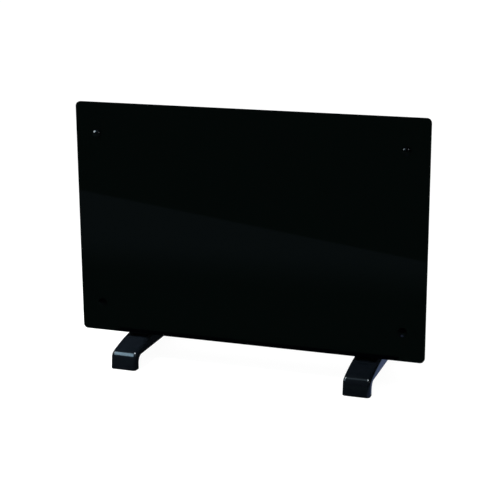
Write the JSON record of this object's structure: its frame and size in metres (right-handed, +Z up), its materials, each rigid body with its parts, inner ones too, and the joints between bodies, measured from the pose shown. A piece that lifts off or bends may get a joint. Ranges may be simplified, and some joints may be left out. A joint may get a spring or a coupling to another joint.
{
  "type": "infrared panel heater",
  "caption": "Free-standing infrared panel heater: black glass front held by domed caps, louvred steel casing with dial and rocker switch, on arched moulded feet.",
  "frame": {"origin": "on the floor, midway between the two feet and midway along them", "axes": "+X along the glass's width to the control side, +Y from the glass front to the rear cover, +Z up"},
  "size_m": [0.6, 0.218, 0.4441],
  "materials": {
    "glass": "polished black-enamelled toughened glass, opaque",
    "foot_plastic": "blue-black moulded plastic, semi-gloss",
    "cap_plastic": "gloss black moulded plastic",
    "steel_paint": "fine-texture black powder coat on pressed sheet steel",
    "control_plastic": "satin black moulded plastic",
    "switch_plastic": "black moulded nylon, semi-gloss",
    "zinc_steel": "zinc-plated steel",
    "aluminium": "bright rolled aluminium sheet",
    "mica": "mica sheet with resistance foil",
    "insulation": "ceramic-fibre board",
    "rubber": "black rubber",
    "nylon": "black nylon",
    "ceramic": "glazed ceramic and moulded phenolic"
  },
  "bodies": {
    "heater": {"front_glass": "glass", "heating_element": "mica", "insulation_board": "insulation", "reflector_pan": "aluminium", "casing_tray": "steel_paint", "rear_cover": "steel_paint", "cord_gland": "nylon", "gland_nut": "nylon", "control_plate": "control_plastic", "thermostat_body": "ceramic", "switch_housing": "switch_plastic", "thermal_cutout": "ceramic", "terminal_block": "ceramic", "tilt_switch": "nylon", "cap_top_left": "cap_plastic", "glass_bush_top_left": "nylon", "standoff_top_left": "rubber", "glass_screw_top_left": "zinc_steel", "glass_nut_top_left": "zinc_steel", "cap_top_right": "cap_plastic", "glass_bush_top_right": "nylon", "standoff_top_right": "rubber", "glass_screw_top_right": "zinc_steel", "glass_nut_top_right": "zinc_steel", "cap_bottom_left": "cap_plastic", "glass_bush_bottom_left": "nylon", "standoff_bottom_left": "rubber", "glass_screw_bottom_left": "zinc_steel", "glass_nut_bottom_left": "zinc_steel", "cap_bottom_right": "cap_plastic", "glass_bush_bottom_right": "nylon", "standoff_bottom_right": "rubber", "glass_screw_bottom_right": "zinc_steel", "glass_nut_bottom_right": "zinc_steel", "cover_screw_1": "zinc_steel", "cover_screw_2": "zinc_steel", "cover_screw_3": "zinc_steel", "cover_screw_4": "zinc_steel", "cover_screw_5": "zinc_steel", "cover_screw_6": "zinc_steel", "foot_left": "foot_plastic", "foot_pad_left_front": "rubber", "foot_screw_left_front": "zinc_steel", "foot_pad_left_rear": "rubber", "foot_screw_left_rear": "zinc_steel", "foot_right": "foot_plastic", "foot_pad_right_front": "rubber", "foot_screw_right_front": "zinc_steel", "foot_pad_right_rear": "rubber", "foot_screw_right_rear": "zinc_steel"},
    "dial": {"thermostat_knob": "control_plastic", "thermostat_shaft": "zinc_steel"},
    "rocker": {"power_rocker": "switch_plastic"}
  },
  "joints": [
    {"name": "dial_turn", "type": "hinge", "parent": "heater", "child": "dial", "pos_m": [0.2753, -0.004, 0.1746], "axis": [-1, 0, 0], "range_deg": [0, 270]},
    {"name": "rocker_tilt", "type": "hinge", "parent": "heater", "child": "rocker", "pos_m": [0.2737, -0.004, 0.1206], "axis": [0, 1, 0], "range_deg": [0, 20]}
  ]
}
